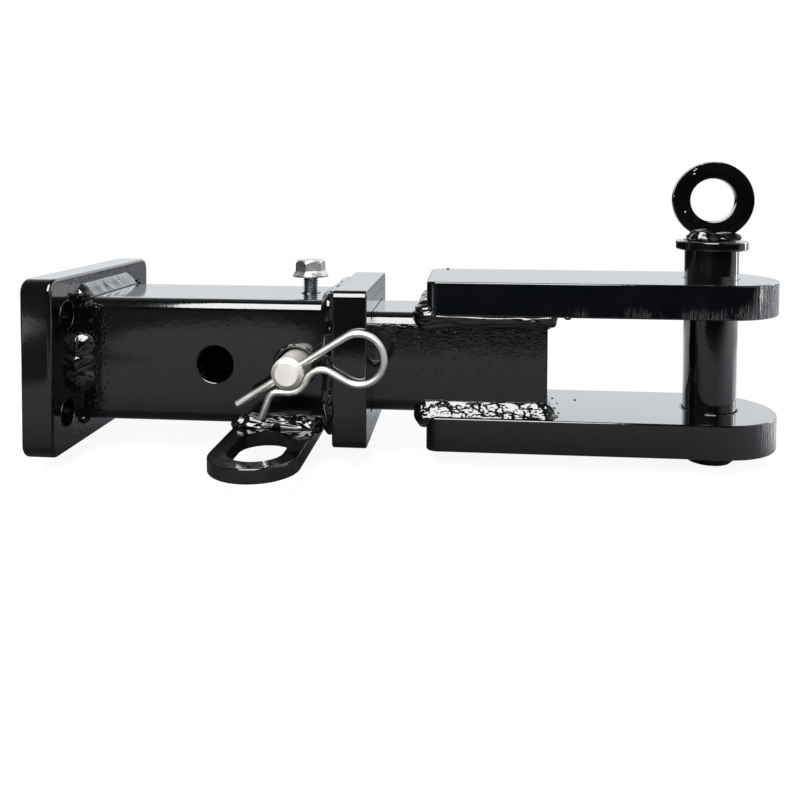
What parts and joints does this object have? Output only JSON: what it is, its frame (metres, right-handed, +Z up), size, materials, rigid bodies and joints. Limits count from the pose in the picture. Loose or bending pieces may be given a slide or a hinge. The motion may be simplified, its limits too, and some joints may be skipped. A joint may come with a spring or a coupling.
{
  "type": "receiver hitch with clevis drawbar",
  "caption": "Bolt-on square receiver with a mounting plate and chain eyes, holding a pinned clevis drawbar with a lift-out towing pin, a spring clip and an anti-rattle bolt.",
  "frame": {"origin": "middle of the mounting plate's back face, on the receiver tube's axis", "axes": "+X along the tube from the plate to the clevis, +Y across to the side of the hitch pin's handle, +Z up"},
  "size_m": [0.3724, 0.1914, 0.1546],
  "materials": {
    "black_paint": "gloss",
    "painted_weld": "gloss",
    "pin_paint": "gloss",
    "bright_steel": "bright",
    "zinc_steel": "zinc plated",
    "spring_wire": "bright drawn"
  },
  "bodies": {
    "receiver": {"mounting_plate": "black_paint", "receiver_tube": "black_paint", "mouth_collar": "black_paint", "chain_plate": "black_paint", "plate_welds": "painted_weld", "collar_weld": "painted_weld", "chain_plate_welds": "painted_weld"},
    "drawbar": {"shank": "black_paint", "upper_clevis_plate": "black_paint", "lower_clevis_plate": "black_paint", "upper_clevis_welds": "painted_weld", "lower_clevis_welds": "painted_weld"},
    "clevis_pin": {"clevis_pin": "pin_paint", "pin_flange": "pin_paint", "pull_ring": "pin_paint", "ring_weld": "painted_weld"},
    "hitch_pin": {"hitch_pin": "bright_steel"},
    "r_clip": {"r_clip": "spring_wire"},
    "anti_rattle_bolt": {"anti_rattle_bolt": "zinc_steel"}
  },
  "joints": [
    {"name": "drawbar_slide", "type": "slide", "parent": "receiver", "child": "drawbar", "axis": [1, 0, 0], "range_m": [-0.0014, 0.0014]},
    {"name": "clevis_pin_lift", "type": "slide", "parent": "drawbar", "child": "clevis_pin", "axis": [0, 0, 1], "range_m": [-0.0148, 0.098]},
    {"name": "hitch_pin_turn", "type": "hinge", "parent": "receiver", "child": "hitch_pin", "pos_m": [0.1289, 0, -0.0008], "axis": [0, 1, 0], "range_deg": [0, 50]},
    {"name": "r_clip_pull", "type": "slide", "parent": "hitch_pin", "child": "r_clip", "axis": [0.8453, 0, 0.5344], "range_m": [0, 0.055], "deforming": ["r_clip"]},
    {"name": "anti_rattle_bolt_turn", "type": "hinge", "parent": "receiver", "child": "anti_rattle_bolt", "pos_m": [0.1307, 0, 0.04065], "axis": [0, 0, 1], "continuous": true}
  ]
}
